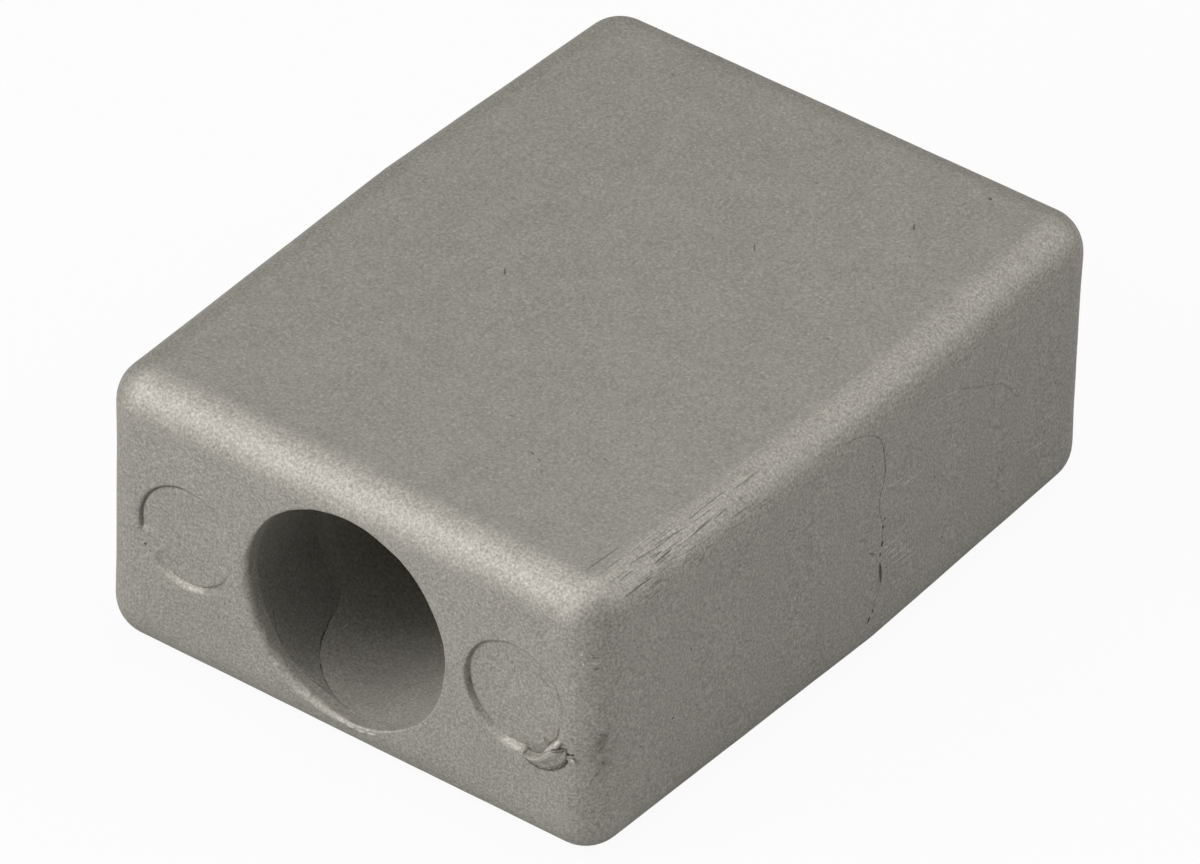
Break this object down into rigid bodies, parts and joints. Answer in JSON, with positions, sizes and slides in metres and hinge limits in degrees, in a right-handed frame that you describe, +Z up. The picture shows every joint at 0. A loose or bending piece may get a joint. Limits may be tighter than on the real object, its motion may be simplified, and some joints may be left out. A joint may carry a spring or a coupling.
{
  "type": "sacrificial anode",
  "caption": "Small rectangular die-cast zinc block anode with rounded edges and a deep stepped bore along its length for one fixing bolt.",
  "frame": {"origin": "on the plane of the bottom face, under the middle of the block", "axes": "+X across the width, +Y along the length from the face with the bore to the face that seats on the bracket, +Z up through the height"},
  "size_m": [0.0486, 0.0636, 0.0249],
  "materials": {
    "cast_zinc": "matte as-cast zinc, fine grained"
  },
  "bodies": {
    "root": {"anode_block": "cast_zinc"}
  },
  "joints": []
}
